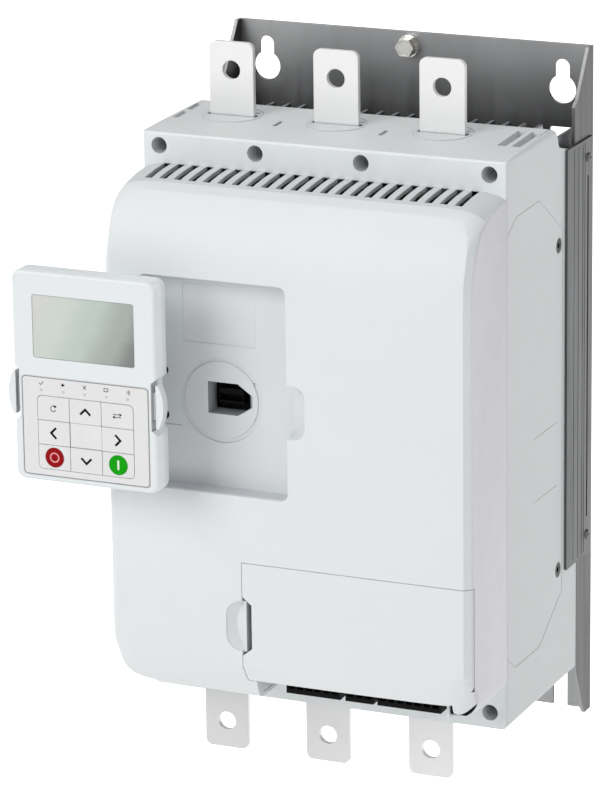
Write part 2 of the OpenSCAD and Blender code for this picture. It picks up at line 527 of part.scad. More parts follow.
module bay_tray() placed() color([0.88, 0.90, 0.90]) difference() {
  union() {
    xprism(bayx1 - bayx0 + 4, (bayx0 + bayx1)/2) polygon([[-168, bayz0 - 2], [-180.48, bayz0 - 2], [-180.48, 284.9], [-180.15, bayz1 + 2], [-168, bayz1 + 2]]);
    // walls of the finger recesses
    bx3([bayx1, -180.48, 207.6], [12.8, -172, 241.2]);
    bx3([bayx0 - 11.5, -180.48, 207.6], [bayx0, -172, 241.2]);
    // port box
    yprism(10.5, -158.5) port_outline(1.6);
  }
  bay_cut();
  intersection() { yprism(20, -150) port_outline(0); bx3([-60, -175, 200], [-27, -150, 240]); }
  yprism(10, -166) port_outline(0);
  // ring groove, flat recess and two round holes in the bay floor
  difference() { ycyl(-42.3, 223.2, 23.7, -169.4, 3, 96); ycyl(-42.3, 223.2, 21.4, -169, 4, 96); }
  bx3([-64, -172, 254], [-22, -169.7, 286]);
  for (z = [211.8, 236.7]) ycyl(-75.8, z, 2.6, -165, 8, 32);
  bx3([-76.6, -172, 206.6], [-66, -169.6, 207.3]);
}
module terminal_box() placed() color([0.88, 0.90, 0.90]) {
  // left wall, set back behind the finger scoop
  xprism(1.8, -28.3) polygon([[-158.4, 80], [-180.4, 80.2], [-180.4, 83.9], [-176.3, 83.9], [-176.3, 119.1], [-180.4, 119.1], [-180.4, 140], [-158.4, 140]]);
  // roof, following the rounded corner of the cover
  translate([0, 0, 138.2]) linear_extrude(height = 1.8) polygon([[-29.2, -158.4], [-29.2, -180.4], [98.2, -180.4], [101.9, -176.7], [102.3, -175.2], [102.3, -158.4]]);
  // rear wall and the floor strips beside the blocks
  bx3([-29.2, -160, 80], [102.3, -158.4, 140]);
  bx3([-29.2, -171.2, 80], [-6.6, -158.4, 81.6]);
  bx3([85.4, -171.2, 80], [91, -158.4, 81.6]);
  hinge_lug(88.8);
  hinge_lug(130);
}
module door_outline() {
  difference() {
    translate([-26.2, 70.5]) square([132, 67.1]);
    polygon([[-27, 119.4], [-20.9, 114.2], [-20.9, 89.6], [-27, 84.6]]);
    polygon([[-27, 80], [-26.2, 79], [-24.6, 70.9], [-24.6, 60], [-27, 60]]);
  }
}
module terminal_door() placed() color([0.90, 0.92, 0.92]) {
  difference() {
    intersection() {
      difference() { cover_shape(0); cover_shape(2.2); }
      union() {
        yprism(30, cy + 5 - 0.05) door_outline();
        // edge rounded about the hinge line
        translate([hx, hy, 79.8]) intersection() {
          cylinder(r = 4.98, h = 57.7, $fn = 96);
          linear_extrude(height = 57.7) polygon([[2, -0.4], [6, -0.4], [6, 0.78], [2, 0.36]]);
        }
        // lower leg wrapped round the hinge axis, with a round tip
        intersection() {
          translate([hx, hy, 56]) cylinder(r = 7.36, h = 23.86, $fn = 64);
          yprism(40, -150) polygon([[91, 88], [91, 69.4], [91.8, 67.4], [93.1, 66.1], [95.2, 65.4], [97.6, 66], [100.1, 67.6], [102.4, 69.7], [104.2, 71.4], [106, 73.6], [106, 88]]);
        }
      }
    }
    translate([hx, hy, 88.4]) cylinder(r = 3.1, h = 45.6, $fn = 32);
  }
  // knuckles and pins
  translate([hx, hy, 83.8]) cylinder(r = 3.15, h = 4.6, $fn = 32);
  translate([hx, hy, 84]) cylinder(r = 1.5, h = 8.4, $fn = 32);
  translate([hx, hy, 134]) cylinder(r = 3.15, h = 3.5, $fn = 32);
  translate([hx, hy, 130.2]) cylinder(r = 1.5, h = 7, $fn = 32);
  // latch finger at the free edge
  bx3([-24.4, -181.2, 122], [-20.4, -176, 123.6]);
}

// ---------------------------------------------------------------- terminals
blk = [[-6.3, 6], [28.2, 3], [46.8, 7]];   // left end, poles
tp = 5.08;
module terminal_blocks() placed() color([0.07, 0.07, 0.08]) {
  for (k = blk) {
    w = k[1]*tp + 1.0;
    difference() {
      union() {
        bx3([k[0], -171, 62.7], [k[0] + w, -152, 76]);
        bx3([k[0], -166, 62.7], [k[0] + w, -150, 79.4]);
      }
      for (i = [0:k[1] - 1]) {
        x = k[0] + 0.5 + (i + 0.5)*tp;
        bx3([x - 1.7, -172, 65.4], [x + 1.7, -161, 68.8]);
        translate([x, -168.6, 71]) cylinder(r = 1.75, h = 6, $fn = 24);
        bx3([x + tp/2 - 0.35, -172, 73.6], [x + tp/2 + 0.35, -166, 77]);
      }
    }
  }
  // corner cover beside the last block
  yprism(2.6, -167.75) polygon([[88.9, 63.3], [97.6, 63.3], [98.9, 64.1], [100.6, 65.9], [102.1, 68], [103.7, 70.7], [103.7, 79], [88.9, 79]]);
}
module terminal_screws() placed() color([0.72, 0.72, 0.70]) for (k = blk, i = [0:k[1] - 1]) {
  x = k[0] + 0.5 + (i + 0.5)*tp;
  difference() {
    translate([x, -168.6, 71]) cylinder(r = 1.6, h = 3, $fn = 24);
    translate([x - 1.3, -168.85, 73.2]) cube([2.6, 0.5, 2]);
  }
}

// ---------------------------------------------------------------- electronics
module control_board() placed() color([0.10, 0.32, 0.18]) difference() {
  union() { bx3([-97, -150, 76], [97, -148.4, 328]); bx3([-10, -150, 66], [84, -148.4, 77]); }
  for (x = [-92, 90], z = [150, 296]) ycyl(x, z, 1.6, -147, 6, 24);
}
module control_parts() placed() color([0.12, 0.12, 0.13]) {
  for (x = [2, 20, 38, 56]) bx3([x, -148.4, 92], [x + 14, -138.4, 112]);
  for (x = [-60, -30]) bx3([x, -148.4, 196], [x + 16, -146.6, 212]);
  bx3([20, -148.4, 176], [38, -146.4, 194]);
  for (x = [-70, -54]) ycyl(x, 120, 6, -138.4, 10, 32);
  for (x = [60, 76]) bx3([x, -148.4, 220], [x + 9, -144, 246]);
  bx3([-80, -148.4, 262], [-56, -140, 286]);
}
module gate_board() placed() color([0.12, 0.28, 0.40]) {
  bx3([-95, -136, 110], [95, -134.4, 322]);
  for (x = [-84, 84], z = [132, 300]) ycyl(x, z, 3, -136.02, 12.38, 32);
  for (b = bx) bx3([b - 13, -134.38, 214], [b + 13, -127, 226]);
}
module ribbon_cable() placed() color([0.55, 0.57, 0.60]) {
  bx3([30, -148.4, 246], [60, -142.4, 252]);
  bx3([30, -141.01, 262], [60, -136, 268]);
  bx3([31, -142.41, 247], [59, -141, 267]);
}
module keypad_port() placed() color([0.06, 0.06, 0.07]) {
  yprism(8.5, -150) port_outline(1.6);
  // tongue with a slot for the plug's pins
  difference() {
    bx3([-46.5, -163.5, 219.9], [-32.1, -158.4, 228.2]);
    bx3([-46.0, -164, 221.4], [-32.6, -158.6, 225.1]);
  }
}

// ---------------------------------------------------------------- keypad
// local frame: centre of the front face, y = 0 at the face, positive to the rear
pw2 = pad_w/2; ph2 = pad_h/2; sh = 8.4;
kc = 18.8; kr = 13.55; kz = -16.7;      // key grid pitch and height of the top row
module at_pad() translate([pad_x, pad_y, pad_z]) children();
module body_slab(i, y0, y1, r = 5) translate([0, y1, 0]) rotate([90, 0, 0]) linear_extrude(height = y1 - y0)
  hull() for (sx = [-1, 1], sz = [-1, 1]) translate([sx*(pw2 - i - r), sz*(ph2 - i - r)]) circle(r = r, $fn = 32);
module box_hole(x, z, w, h, y0, y1, r) translate([0, y1, 0]) rotate([90, 0, 0]) linear_extrude(height = y1 - y0) rrect(x - w/2, z - h/2, x + w/2, z + h/2, r);
module pcyl(x, z, r, y0, y1, n = 32) translate([x, y1, z]) rotate([90, 0, 0]) cylinder(r = r, h = y1 - y0, $fn = n);
keys6 = [[-kc, kz], [0, kz], [kc, kz], [-kc, kz - kr], [kc, kz - kr], [0, kz - 2*kr]];
round2 = [[-kc, kz - 2*kr], [kc, kz - 2*kr]];
lamps = [-25.7, -12.7, -0.1, 12.5, 25.1];
// outline of the whole key field, used to round its outer corners
module key_field(g, y0, y1) box_hole(0, kz - kr, 3*kc - g, 3*kr - g, y0, y1, 2.8 - g/2);
// side notch with sloped ends that holds a grip, s = side
module grip_notch(s, y1) translate([0, y1, 0]) rotate([90, 0, 0]) linear_extrude(height = y1 + 1)
  polygon([[s*(pw2 + 1), 7.0], [s*(pw2 - 3.3), 2.7], [s*(pw2 - 3.3), -22.5], [s*(pw2 + 1), -26.8]]);
// solid cheek behind a notch
module cheek(s, y0) translate([s*(pw2 - 3.6) - 1.7, y0, -27.5]) cube([3.4, 20, 35.2]);
module keypad_front_shell() placed() color([0.88, 0.90, 0.90]) at_pad() difference() {
  hull() { body_slab(1.4, 0, 0.1, 4.2); body_slab(0.4, 0.55, 0.6, 4.8); body_slab(0, 1.6, sh, 5); }
  difference() {
    body_slab(2, 1.8, sh + 1, 3.2);
    for (s = [-1, 1]) cheek(s, 0);
  }
  // display window with a seat for the lens
  box_hole(-0.2, 28, 59.5, 34.6, -1, 1.3, 1.2);
  box_hole(-0.2, 28, 55.4, 30.4, -1, 4, 0.8);
  // overlay seat, key pocket with a fixed blank in the middle, key and lamp holes
  box_hole(0, -27.1, 74.9, 55.2, -1, 0.25, 2.4);
  difference() { key_field(-0.3, -1, 1.2); box_hole(0, kz - kr, kc - 0.3, kr - 0.3, 0, 2, 0.3); }
  for (k = concat(keys6, round2)) box_hole(k[0], k[1], 16.6, 11.4, -1, 4, 1.4);
  for (x = lamps) pcyl(x, -7, 0.75, -1, 4, 24);
  // side notches and slots of the grips
  for (s = [-1, 1]) { grip_notch(s, sh + 1); translate([s*(pw2 - 4) - 4, 2.0, -17.9]) cube([8, 3.4, 16]); }
}
module keypad_posts(y0, y1) for (x = [-32, 32], z = [-50, 50]) pcyl(x, z, 2.2, y0, y1, 24);
module keypad_rear_shell() placed() color([0.84, 0.86, 0.86]) at_pad() {
  difference() {
    hull() { body_slab(0, sh, 12.6, 5); body_slab(0.5, 13.8, 13.9, 4.6); body_slab(1.3, pad_t - 0.1, pad_t, 4); }
    difference() {
      body_slab(2, sh - 1, 12.6, 3.2);
      for (s = [-1, 1]) cheek(s, sh - 2);
    }
    translate([4.4, 0, -9.45]) box_hole(0, 0, 24.4, 16, 10, 16, 0.1);
    for (s = [-1, 1]) grip_notch(s, pad_t + 1);
  }
  difference() { pcyl(-0.7, -10.4, 23.4, pad_t, pad_t + 0.4, 96); pcyl(-0.7, -10.4, 21.7, 10, 16, 96); }
  keypad_posts(6.2, 12.7);
  // ribs that hold the plug body
  translate([4.4 - 13.2, 9, -9.45 - 9]) cube([26.4, 3.7, 0.9]);
  translate([4.4 - 13.2, 9, -9.45 + 8.1]) cube([26.4, 3.7, 0.9]);
}
module display_lens() placed() color([0.55, 0.60, 0.56]) at_pad() box_hole(-0.2, 28, 59.1, 34.2, 0.15, 1.3, 1);
module display_panel() placed() color([0.30, 0.34, 0.32]) at_pad() difference() {
  box_hole(-0.2, 28, 58.6, 34, 1.8, 4.6, 0.6);
  box_hole(-0.2, 28, 56, 31, 1.7, 1.95, 0.6);
}
module keypad_overlay() placed() color([0.78, 0.80, 0.80]) at_pad() difference() {
  box_hole(0, -27.1, 74.5, 54.8, -0.1, 0.25, 2.2);
  key_field(-0.3, -1, 4);
  for (x = lamps) pcyl(x, -7, 0.75, -1, 4, 24);
}
module led_windows() placed() color([0.35, 0.37, 0.36]) at_pad() for (x = lamps) { pcyl(x, -7, 0.7, -0.13, 3, 24); pcyl(x, -7, 1.5, 1.8, 4.6, 24); }
module keypad_board() placed() color([0.10, 0.33, 0.20]) at_pad() {
  difference() {
    box_hole(0, 0, 72, 105, 4.6, 6.2, 2);
    for (x = [-32, 32], z = [-50, 50]) pcyl(x, z, 0.9, 4, 7, 24);
    // side cut-outs for the grips
    for (s = [-1, 1]) translate([s*37 - 4, 4, -27.9]) cube([8, 4, 36]);
  }
  for (k = concat(keys6, round2)) pcyl(k[0], k[1], 3.6, 4.45, 4.61, 32);
  for (x = [-20, 12]) translate([x, 6.19, 14]) cube([12, 1.6, 12]);
}
module keypad_plug() placed() color([0.07, 0.07, 0.08]) at_pad() translate([4.4, 0, -9.45]) {
  difference() {
    union() {
      translate([0, 25.5, 0]) rotate([90, 0, 0]) linear_extrude(height = 14) polygon([[-12, -7.8], [4, -7.8], [11.8, -3], [11.8, 3], [4, 7.8], [-12, 7.8]]);
      translate([-12, 6.2, -7.8]) cube([24, 6.4, 15.6]);
    }
    translate([-9.6, 20, -4.6]) cube([15, 8, 9]);
  }
  for (i = [0:6]) translate([-9 + i*2.05, 19.9, -2.5]) cube([0.8, 4.4, 3.2]);
}
module grip() {
  // half-moon finger tab with a flat inner side, stem through the slot, inner stop
  intersection() {
    translate([-20.2, 5.6, -9.9]) rotate([90, 0, 0]) cylinder(r = 25.4, h = 5.2, $fn = 128);
    translate([-46.2, 0.4, -21.8]) cube([5.04, 5.2, 23.8]);
  }
  translate([-41.5, 2.4, -17.4]) cube([5.6, 2.6, 15]);
  translate([-36.3, 2.4, -19.0]) cube([1.1, 2.6, 18.2]);
}
module grip_left() placed() color([0.82, 0.84, 0.84]) at_pad() grip();
module grip_right() placed() color([0.82, 0.84, 0.84]) at_pad() mirror([1, 0, 0]) grip();
module cap(k) {
  intersection() { box_hole(k[0], k[1], kc - 0.35, kr - 0.35, -0.2, 0.62, 0.3); key_field(0.35, -1, 2); }
  box_hole(k[0], k[1], 16.2, 11.0, 0.6, 2, 1.2);
  box_hole(k[0], k[1], 17.8, 12.6, 1.85, 2.9, 1.6);
  pcyl(k[0], k[1], 1.6, 2.8, 3.85, 24);
}
module pad_key(k) at_pad() cap(k);
module round_key(k) at_pad() { cap(k); pcyl(k[0], k[1], 5.5, -0.3, 0.1, 48); }
module key_soft_left() placed() color([0.86, 0.88, 0.88]) pad_key(keys6[0]);
module key_up() placed() color([0.86, 0.88, 0.88]) pad_key(keys6[1]);
module key_soft_right() placed() color([0.86, 0.88, 0.88]) pad_key(keys6[2]);
module key_left() placed() color([0.86, 0.88, 0.88]) pad_key(keys6[3]);
module key_right() placed() color([0.86, 0.88, 0.88]) pad_key(keys6[4]);
module key_down() placed() color([0.86, 0.88, 0.88]) pad_key(keys6[5]);
module key_stop() placed() color([0.62, 0.05, 0.08]) round_key(round2[0]);
module key_start() placed() color([0.10, 0.58, 0.10]) round_key(round2[1]);

// ---------------------------------------------------------------- output
back_plate();
earth_bolt();
earth_washers();
heatsink();
plate_screws();
side_shroud_right();
side_shroud_left();
shroud_screws();
main_housing();
housing_screws();
side_screws();
line_bushes();
load_bushes();
line_busbar_1();
line_busbar_2();
line_busbar_3();
load_busbar_1();
load_busbar_2();
load_busbar_3();
thyristor_module_1();
thyristor_module_2();
thyristor_module_3();
module_bolts();
bypass_frame();
bypass_coil();
bypass_bridge();
bypass_contacts();
current_transformers();
fan_tray();
fan_rotor_left();
fan_rotor_right();
front_cover();
bay_tray();
terminal_box();
terminal_door();
terminal_blocks();
terminal_screws();
control_board();
control_parts();
gate_board();
ribbon_cable();
keypad_port();
keypad_front_shell();
keypad_rear_shell();
display_lens();
display_panel();
keypad_overlay();
led_windows();
keypad_board();
keypad_plug();
grip_left();
grip_right();
key_up();
key_down();
key_left();
key_right();
key_soft_left();
key_soft_right();
key_stop();
key_start();
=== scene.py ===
import math
import bpy
import bmesh
from mathutils import Matrix, Vector


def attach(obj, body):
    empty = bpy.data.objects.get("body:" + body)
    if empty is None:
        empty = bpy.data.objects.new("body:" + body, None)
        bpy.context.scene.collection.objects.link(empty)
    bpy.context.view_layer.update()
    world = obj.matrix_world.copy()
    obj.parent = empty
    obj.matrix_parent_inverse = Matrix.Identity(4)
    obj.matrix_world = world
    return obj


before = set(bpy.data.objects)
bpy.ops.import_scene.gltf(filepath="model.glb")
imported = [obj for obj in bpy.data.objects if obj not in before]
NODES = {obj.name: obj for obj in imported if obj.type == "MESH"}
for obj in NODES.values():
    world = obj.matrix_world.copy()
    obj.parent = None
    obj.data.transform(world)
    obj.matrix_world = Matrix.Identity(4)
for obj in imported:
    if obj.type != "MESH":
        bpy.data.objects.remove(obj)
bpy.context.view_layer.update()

DZ = -0.205                      # heights counted from the lowest point, moved into the row frame


def lin(r, g, b):
    """sRGB 0-255 to linear"""
    f = lambda c: c / 12.92 if c <= 0.04045 else ((c + 0.055) / 1.055) ** 2.4
    return (f(r / 255), f(g / 255), f(b / 255), 1.0)


# ------------------------------------------------------------------ node materials
class Mat:
    """A small builder round one Principled shader."""

    def __init__(self, name):
        self.m = bpy.data.materials.new(name)
        self.m.use_nodes = True
        self.t = self.m.node_tree
        self.t.nodes.clear()
        self.out = self.t.nodes.new("ShaderNodeOutputMaterial")
        self.b = self.t.nodes.new("ShaderNodeBsdfPrincipled")
        self.t.links.new(self.b.outputs[0], self.out.inputs["Surface"])
        self.tc = self.t.nodes.new("ShaderNodeTexCoord")
        self.obj = self.tc.outputs["Object"]

    def put(self, socket, value):
        if hasattr(value, "is_linked") or hasattr(value, "links"):
            self.t.links.new(value, socket)
        else:
            socket.default_value = value

    def mapping(self, scale, loc=(0, 0, 0), rot=(0, 0, 0), vec=None):
        n = self.t.nodes.new("ShaderNodeMapping")
        self.put(n.inputs["Vector"], vec or self.obj)
        n.inputs["Scale"].default_value = scale
        n.inputs["Location"].default_value = loc
        n.inputs["Rotation"].default_value = rot
        return n.outputs[0]

    def noise(self, scale, detail=3.0, rough=0.55, vec=None, distortion=0.0):
        n = self.t.nodes.new("ShaderNodeTexNoise")
        self.put(n.inputs["Vector"], vec or self.obj)
        n.inputs["Scale"].default_value = scale
        n.inputs["Detail"].default_value = detail
        n.inputs["Roughness"].default_value = rough
        n.inputs["Distortion"].default_value = distortion
        return n.outputs["Fac"]

    def voronoi(self, scale, vec=None, feature="F1", out="Distance", rand=1.0):
        n = self.t.nodes.new("ShaderNodeTexVoronoi")
        n.feature = feature
        self.put(n.inputs["Vector"], vec or self.obj)
        n.inputs["Scale"].default_value = scale
        n.inputs["Randomness"].default_value = rand
        return n.outputs[out]

    def wave(self, scale, vec=None, axis="Z", distortion=0.0, detail=0.0):
        n = self.t.nodes.new("ShaderNodeTexWave")
        n.bands_direction = axis
        self.put(n.inputs["Vector"], vec or self.obj)
        n.inputs["Scale"].default_value = scale
        n.inputs["Distortion"].default_value = distortion
        n.inputs["Detail"].default_value = detail
        return n.outputs["Fac"]

    def ramp(self, fac, stops, mode="LINEAR"):
        n = self.t.nodes.new("ShaderNodeValToRGB")
        n.color_ramp.interpolation = mode
        e = n.color_ramp.elements
        while len(e) < len(stops):
            e.new(0.5)
        for el, (p, c) in zip(e, stops):
            el.position = p
            el.color = c if len(c) == 4 else (*c, 1)
        self.put(n.inputs["Fac"], fac)
        return n.outputs["Color"]

    def rng(self, v, a, b, c, d):
        n = self.t.nodes.new("ShaderNodeMapRange")
        self.put(n.inputs["Value"], v)
        for k, x in zip(("From Min", "From Max", "To Min", "To Max"), (a, b, c, d)):
            n.inputs[k].default_value = x
        return n.outputs["Result"]

    def math(self, op, a, b=0.0, clamp=False):
        n = self.t.nodes.new("ShaderNodeMath")
        n.operation = op
        n.use_clamp = clamp
        self.put(n.inputs[0], a)
        self.put(n.inputs[1], b)
        return n.outputs[0]

    def mix(self, fac, a, b, blend="MIX"):
        n = self.t.nodes.new("ShaderNodeMix")
        n.data_type = "RGBA"
        n.blend_type = blend
        self.put(n.inputs["Factor"], fac)
        self.put(n.inputs[6], a)
        self.put(n.inputs[7], b)
        return n.outputs[2]

    def axis(self, which, vec=None):
        n = self.t.nodes.new("ShaderNodeSeparateXYZ")
        self.put(n.inputs[0], vec or self.obj)
        return n.outputs[which]

    def bevel(self, radius):
        n = self.t.nodes.new("ShaderNodeBevel")
        n.samples = 4
        n.inputs["Radius"].default_value = radius
        return n.outputs[0]

    def edge(self, bevel_normal, lo=0.02, hi=0.25):
        """1 on an edge, 0 on a flat face; the materials paint a highlight on the edges with it"""
        g = self.t.nodes.new("ShaderNodeNewGeometry")
        n = self.t.nodes.new("ShaderNodeVectorMath")
        n.operation = "DOT_PRODUCT"
        self.put(n.inputs[0], bevel_normal)
        self.put(n.inputs[1], g.outputs["Normal"])
        return self.rng(self.math("SUBTRACT", 1.0, n.outputs["Value"]), lo, hi, 0.0, 1.0)

    def within(self, which, lo, hi, soft=5e-5, mirror=None, vec=None):
        """1 where a coordinate lies between lo and hi; with mirror, its distance from there is used"""
        v = self.axis(which, vec)
        if mirror is not None:
            v = self.math("ABSOLUTE", self.math("SUBTRACT", v, mirror))
        return self.math("MULTIPLY", self.rng(v, lo - soft, lo + soft, 0.0, 1.0), self.rng(v, hi - soft, hi + soft, 1.0, 0.0))

    def across(self, which):
        """1 on faces that look along the given axis, either way"""
        g = self.t.nodes.new("ShaderNodeNewGeometry")
        return self.rng(self.math("ABSOLUTE", self.axis(which, g.outputs["True Normal"])), 0.6, 0.8, 0.0, 1.0)

    def bump(self, height, dist, strength=1.0, normal=None):
        n = self.t.nodes.new("ShaderNodeBump")
        n.inputs["Strength"].default_value = strength
        n.inputs["Distance"].default_value = dist
        self.put(n.inputs["Height"], height)
        if normal is not None:
            self.put(n.inputs["Normal"], normal)
        return n.outputs[0]

    def set(self, **kw):
        names = {"color": "Base Color", "rough": "Roughness", "metal": "Metallic", "normal": "Normal", "spec": "Specular IOR Level",
                 "ior": "IOR", "coat": "Coat Weight", "coat_rough": "Coat Roughness", "aniso": "Anisotropic", "alpha": "Alpha",
                 "trans": "Transmission Weight", "sheen": "Sheen Weight", "emit": "Emission Color", "emit_s": "Emission Strength"}
        for k, v in kw.items():
            self.put(self.b.inputs[names[k]], v)
        return self.m


def tint(c, k):
    return (min(1, c[0] * k), min(1, c[1] * k), min(1, c[2] * k), 1)


def plastic(name, c, rough=0.5, grain=2600, depth=3e-5, edge=4e-4, mottle=0.03, spec=0.45, edge_highlight=1.05, seed=0.0, areas=None):
    """Moulded plastic: spark-eroded grain, faint flow mottle, edges painted lighter as a painted highlight; areas are
    (mask, colour) makers.
    """
    m = Mat(name)
    v = m.mapping((1, 1, 1), loc=(seed, seed * 0.7, 0))
    flow = m.noise(9, 3, 0.5, v, 0.6)
    fine = m.noise(grain, 2, 0.6, v)
    cloud = m.noise(70, 4, 0.6, v)
    col = m.ramp(flow, [(0.3, tint(c, 1 - mottle)), (0.7, tint(c, 1 + mottle * 0.5))])
    col = m.mix(m.rng(cloud, 0.3, 0.7, 0.0, 0.35), col, tint(c, 1 - mottle * 1.2))
    bev = m.bevel(edge)
    e = m.edge(bev)
    # painted highlight: the edges found by the bevel mask are painted lighter
    col = m.mix(m.math("MULTIPLY", e, 0.6), col, tint(c, edge_highlight))
    for mask, shade in areas or ():
        col = m.mix(mask(m), col, m.ramp(cloud, [(0.3, tint(shade, 0.97)), (0.7, tint(shade, 1.02))]))
    r = m.rng(m.math("ADD", m.math("MULTIPLY", fine, 0.6), m.math("MULTIPLY", cloud, 0.4)), 0.3, 0.7, rough - 0.05, rough + 0.07)
    n = m.bump(fine, depth, 0.7, bev)
    return m.set(color=col, rough=r, normal=n, spec=spec)


def metal(name, c, rough=0.35, brush=(1, 1, 60), scale=30, edge=3e-4, stain=0.12, spangle=0.0, metallic=1.0, scratch=0.25, aniso=0.0, wear_and_highlight=1.35, areas=None, streak=0.86):
    """Sheet or bar metal: rolling lines, stains, fine scratches, edges painted brighter, partly wear and partly
    painted highlight.
    """
    m = Mat(name)
    lines = m.noise(scale, 6, 0.65, m.mapping(brush))
    stains = m.noise(14, 5, 0.6, None, 0.8)
    fine = m.noise(900, 3, 0.6)
    scr = m.noise(55, 8, 0.75, m.mapping((1, 1, 14), rot=(0.3, 0.5, 0.9)), 1.2)
    col = m.ramp(stains, [(0.3, tint(c, 1 - stain)), (0.72, tint(c, 1.04))])
    col = m.mix(m.rng(lines, 0.35, 0.7, 0.0, 0.35), col, tint(c, streak))
    if spangle:
        cell = m.voronoi(130, None, "F1", "Color")
        bw = m.t.nodes.new("ShaderNodeRGBToBW")
        m.put(bw.inputs[0], cell)
        col = m.mix(m.rng(bw.outputs[0], 0.0, 1.0, 0.0, spangle), col, tint(c, 1.25))
    bev = m.bevel(edge)
    e = m.edge(bev)
    # worn edges and painted highlight: the bevel-mask edges are painted brighter
    col = m.mix(m.math("MULTIPLY", e, 0.7), col, tint(c, wear_and_highlight))
    for mask, k in areas or ():
        col = m.mix(mask(m), col, tint(c, k))
    s = m.rng(scr, 0.60, 0.66, 0.0, scratch)
    r = m.math("ADD", m.rng(lines, 0.3, 0.7, rough - 0.05, rough + 0.07), m.math("MULTIPLY", s, -0.12))
    n = m.bump(m.math("ADD", m.math("MULTIPLY", lines, 0.7), m.math("MULTIPLY", fine, 0.3)), 2.5e-5, 0.6, bev)
    return m.set(color=col, rough=r, metal=metallic, normal=n, aniso=aniso)


def bar_metal(name, c):
    """Tinned bar: satin plating, faint drawing lines across, painted shade near the housing and on the lower bars,
    stronger towards the left, small handling marks.
    """
    m = Mat(name)
    cloud = m.noise(22, 4, 0.55, None, 0.6)
    draw = m.noise(18, 4, 0.6, m.mapping((70, 1, 0.6)))
    fine = m.noise(1100, 3, 0.6)
    z = m.axis("Z")
    # painted shade: the bars are darkened near the housing and on the lower bars, more on the left than the right
    foot_shade = m.math("MULTIPLY", m.rng(z, 0.150, 0.180, 1.0, 0.0), m.rng(z, 0.0, 0.01, 0.0, 1.0))
    low_bar_shade = m.rng(z, -0.170, -0.160, 1.0, 0.0)
    painted_shade = m.math("MULTIPLY", m.math("ADD", m.math("MULTIPLY", foot_shade, 0.45), m.math("MULTIPLY", low_bar_shade, 0.85)), m.rng(m.axis("X"), -0.080, 0.055, 1.35, 0.55), True)
    col = m.ramp(cloud, [(0.3, tint(c, 0.975)), (0.7, tint(c, 1.0))])
    col = m.mix(m.rng(draw, 0.3, 0.7, 0.0, 0.22), col, tint(c, 0.93))
    col = m.mix(painted_shade, col, tint(c, 0.74))
    bev = m.bevel(5e-4)
    # painted highlight: edges painted a little brighter
    col = m.mix(m.math("MULTIPLY", m.edge(bev), 0.5), col, tint(c, 1.08))
    marks = m.rng(m.noise(48, 8, 0.75, m.mapping((1, 1, 9), rot=(0.2, 0.5, 0.7)), 1.0), 0.62, 0.68, 0.0, 1.0)
    r = m.math("SUBTRACT", m.rng(draw, 0.3, 0.7, 0.40, 0.48), m.math("MULTIPLY", marks, 0.1))
    n = m.bump(m.math("ADD", m.math("MULTIPLY", draw, 0.4), m.math("MULTIPLY", fine, 0.3)), 1.2e-5, 0.5, bev)
    return m.set(color=col, rough=r, metal=0.48, normal=n, spec=0.6)


def board(name, c, track):
    """Solder-masked laminate with tracks, pads and silk-screen-free surface."""
    m = Mat(name)
    v = m.mapping((1, 0.2, 1))
    cell = m.voronoi(220, v, "F1", "Distance", 0.25)
    lines = m.wave(60, m.mapping((1, 0, 1), rot=(0, 0.785, 0)), "X", 6.0, 1.0)
    tr = m.rng(lines, 0.62, 0.68, 0.0, 1.0)
    pads = m.rng(cell, 0.10, 0.13, 1.0, 0.0)
    blot = m.noise(20, 3, 0.5)
    col = m.ramp(blot, [(0.3, tint(c, 0.85)), (0.7, tint(c, 1.1))])
    col = m.mix(m.math("MULTIPLY", tr, 0.7), col, track)
    col = m.mix(pads, col, lin(190, 185, 165))
    n = m.bump(m.math("ADD", tr, pads), 3e-5, 0.8, m.bevel(1.5e-4))
    return m.set(color=col, rough=m.rng(blot, 0.3, 0.7, 0.3, 0.4), metal=m.math("MULTIPLY", pads, 0.9), normal=n, coat=0.25, coat_rough=0.15)


def winding(name):
    """Enamelled copper turns on the coil."""
    m = Mat(name)
    turns = m.wave(320, m.mapping((1, 1, 1)), "Z", 0.15, 1.0)
    lay = m.noise(60, 3, 0.5)
    c = lin(168, 84, 40)
    col = m.ramp(turns, [(0.1, tint(c, 0.35)), (0.55, c), (0.95, tint(c, 1.5))])
    col = m.mix(m.rng(lay, 0.35, 0.65, 0, 0.4), col, tint(c, 0.6))
    n = m.bump(turns, 2e-4, 0.9, m.bevel(2e-4))
    return m.set(color=col, rough=m.rng(lay, 0.3, 0.7, 0.28, 0.4), metal=0.75, normal=n, coat=0.5, coat_rough=0.12)


def copper(name):
    m = Mat(name)
    tar = m.noise(45, 5, 0.65, None, 1.0)
    lines = m.noise(30, 5, 0.6, m.mapping((60, 1, 1)))
    c = lin(196, 122, 84)
    col = m.ramp(tar, [(0.3, lin(120, 66, 44)), (0.55, c), (0.8, lin(214, 150, 112))])
    bev = m.bevel(2.5e-4)
    # painted highlight: edges painted paler
    col = m.mix(m.math("MULTIPLY", m.edge(bev), 0.6), col, lin(230, 178, 140))
    return m.set(color=col, rough=m.rng(tar, 0.3, 0.7, 0.42, 0.28), metal=0.95, normal=m.bump(lines, 2e-5, 0.5, bev))


def ribbon(name):
    """Flat cable: parallel cores and one marked edge core."""
    m = Mat(name)
    cores = m.wave(395, m.mapping((1, 0, 0)), "X")
    x = m.axis("X")
    red = m.rng(x, 0.0312, 0.0316, 1.0, 0.0)
    c = lin(176, 179, 184)
    col = m.ramp(cores, [(0.05, tint(c, 0.55)), (0.5, c), (1.0, tint(c, 1.1))])
    col = m.mix(red, col, lin(150, 40, 40))
    return m.set(color=col, rough=m.rng(m.noise(300), 0.3, 0.7, 0.42, 0.5), normal=m.bump(cores, 2e-4, 0.9))


